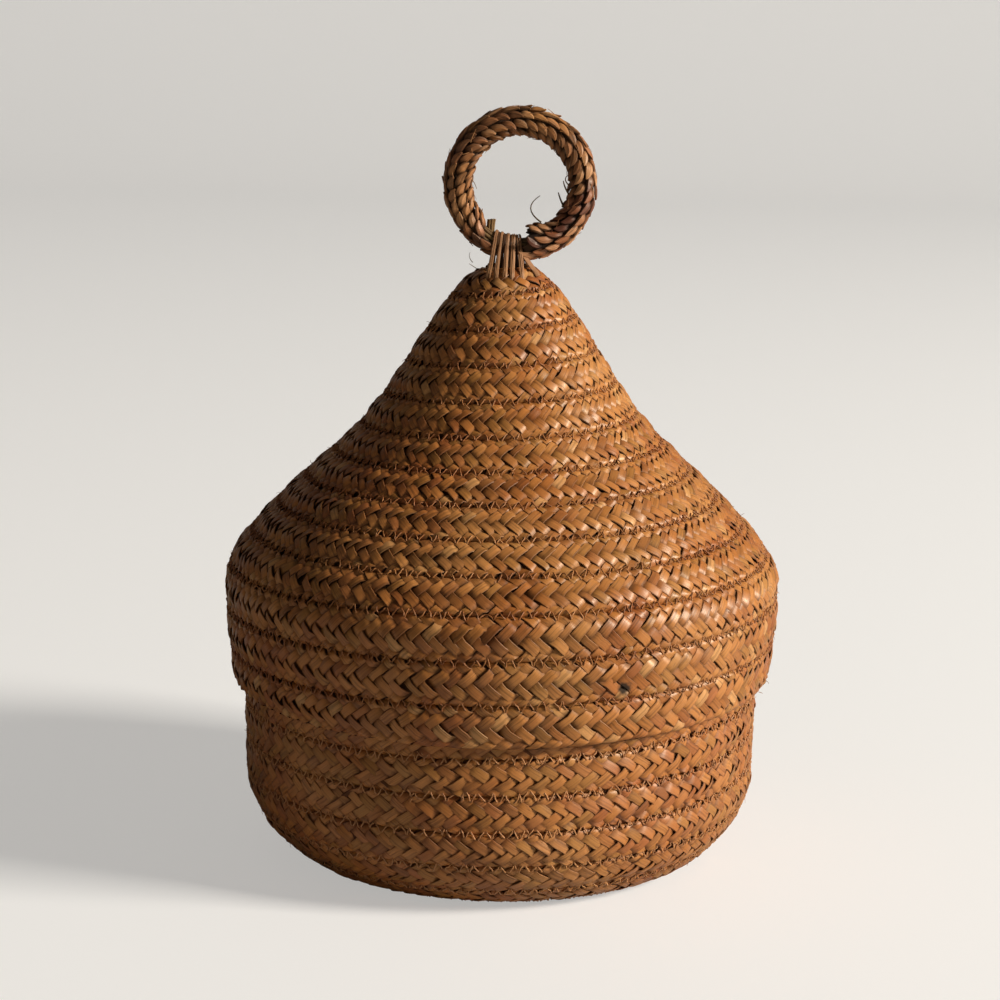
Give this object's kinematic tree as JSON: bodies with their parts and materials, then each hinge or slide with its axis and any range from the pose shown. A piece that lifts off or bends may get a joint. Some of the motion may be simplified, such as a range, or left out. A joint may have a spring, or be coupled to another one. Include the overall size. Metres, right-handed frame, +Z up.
{
  "type": "raffia lidded box",
  "caption": "Round coiled box of sewn raffia plait with a bell-shaped lift-off lid and a plaited ring handle lashed to its tip.",
  "frame": {"origin": "middle of the flat underside, where the box rests", "axes": "+Z up through the ring handle, front faces -Y, the ring lies in the XZ plane"},
  "size_m": [0.1438, 0.1438, 0.193],
  "materials": {
    "base_raffia": "satin raffia plait, warm golden brown",
    "lid_raffia": "satin raffia plait, warm golden brown",
    "sewing_raffia": "matt split raffia thread, pale tan",
    "ring_raffia": "satin tubular raffia plait, reddish brown",
    "core_grass": "matt dry grass",
    "lashing_raffia": "matt raffia strand, pale tan"
  },
  "bodies": {
    "base": {"base_plait": "base_raffia", "base_sewing_thread": "sewing_raffia"},
    "lid": {"lid_plait": "lid_raffia", "lid_sewing_thread": "sewing_raffia", "handle_lashing": "lashing_raffia"},
    "handle": {"handle_plait": "ring_raffia", "handle_core": "core_grass"}
  },
  "joints": [
    {"name": "lid_lift", "type": "slide", "parent": "base", "child": "lid", "axis": [0, 0, 1], "range_m": [0, 0.12]},
    {"name": "handle_tilt", "type": "hinge", "parent": "lid", "child": "handle", "pos_m": [0.0028, 0, 0.15725], "axis": [1, 0, 0], "range_deg": [-12, 12]}
  ]
}
